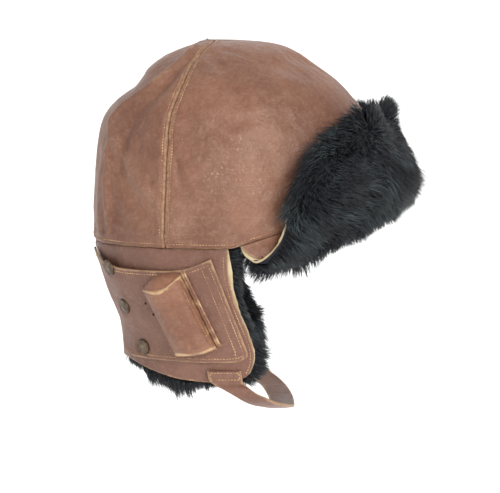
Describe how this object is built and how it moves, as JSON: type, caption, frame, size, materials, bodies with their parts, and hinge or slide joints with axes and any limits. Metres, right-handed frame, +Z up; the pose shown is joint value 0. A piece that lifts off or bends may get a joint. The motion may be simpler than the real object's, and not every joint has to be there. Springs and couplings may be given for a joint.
{
  "type": "leather flying helmet",
  "caption": "Soft leather flying helmet with a domed crown, fur-lined ear and neck curtain, studded side panels with pouches, turned-up fur brow flap and chin strap.",
  "frame": {"origin": "centre of the head opening, level with the seam under the crown, where the head that wears it sits", "axes": "+X the way the wearer looks, +Y the wearer's left, +Z up"},
  "size_m": [0.2657, 0.2145, 0.2928],
  "materials": {
    "crown_leather": "worn reddish brown leather with a soft sheen, scuffs and tan thread",
    "curtain_leather": "worn reddish brown leather, smoother and a little darker than the crown",
    "pouch_leather": "reddish brown leather rubbed pale at its rims",
    "strap_leather": "soft brown leather strap with pale cut edges",
    "pelt": "raw skin side of the fur, matt beige",
    "fur": "dense black fur with a cool sheen",
    "stud_brass": "dark antique brass press studs"
  },
  "bodies": {
    "root": {"crown_front_right": "crown_leather", "crown_front_left": "crown_leather", "crown_back": "crown_leather", "curtain": "curtain_leather", "curtain_pelt": "pelt", "curtain_fur": "fur", "brow_flap": "crown_leather", "brow_pelt": "pelt", "brow_fur": "fur", "side_panel_right": "curtain_leather", "side_panel_left": "curtain_leather", "pouch_right": "pouch_leather", "pouch_left": "pouch_leather", "pouch_welt_right": "pouch_leather", "pouch_welt_left": "pouch_leather", "stud_right_1": "stud_brass", "stud_right_2": "stud_brass", "stud_right_3": "stud_brass", "stud_left_1": "stud_brass", "stud_left_2": "stud_brass", "stud_left_3": "stud_brass", "chin_strap": "strap_leather", "chin_strap_stud": "stud_brass"}
  },
  "joints": []
}
